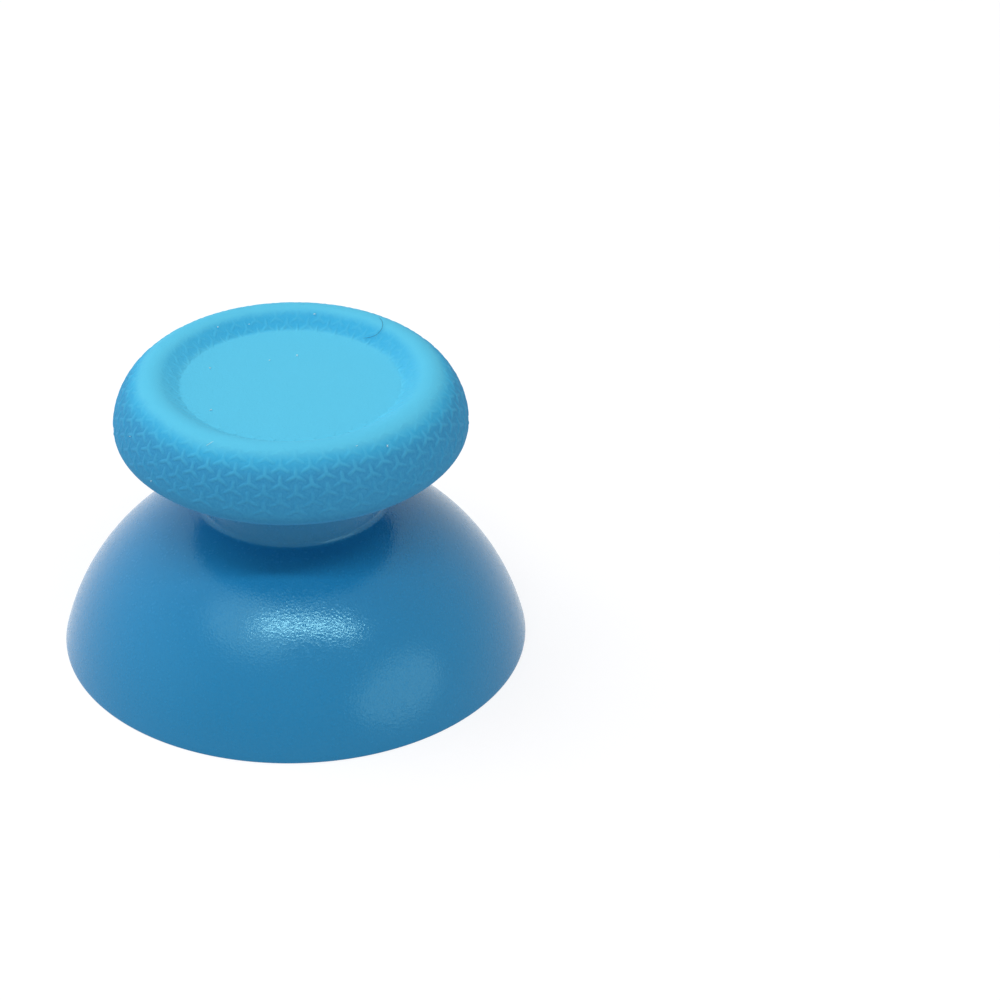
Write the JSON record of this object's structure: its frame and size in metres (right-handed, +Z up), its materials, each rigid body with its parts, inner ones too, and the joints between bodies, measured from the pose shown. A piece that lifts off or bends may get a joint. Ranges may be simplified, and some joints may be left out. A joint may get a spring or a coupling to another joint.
{
  "type": "thumbstick cap",
  "caption": "Replacement thumbstick cap for a game controller: a domed skirt and neck in hard plastic under a soft dished grip, with a ribbed underside and a socket for the stick's shaft",
  "frame": {"origin": "centre of the skirt's rim, on the plane that the cap stands on", "axes": "+Z up along the cap's axis, from the rim to the dished top; X along the normals of the socket's flats; Y across them"},
  "size_m": [0.026, 0.026, 0.0168],
  "materials": {
    "hard_blue_plastic": "satin",
    "soft_cyan_rubber": "matte"
  },
  "bodies": {
    "root": {"base_moulding": "hard_blue_plastic", "grip_pad": "soft_cyan_rubber"}
  },
  "joints": []
}
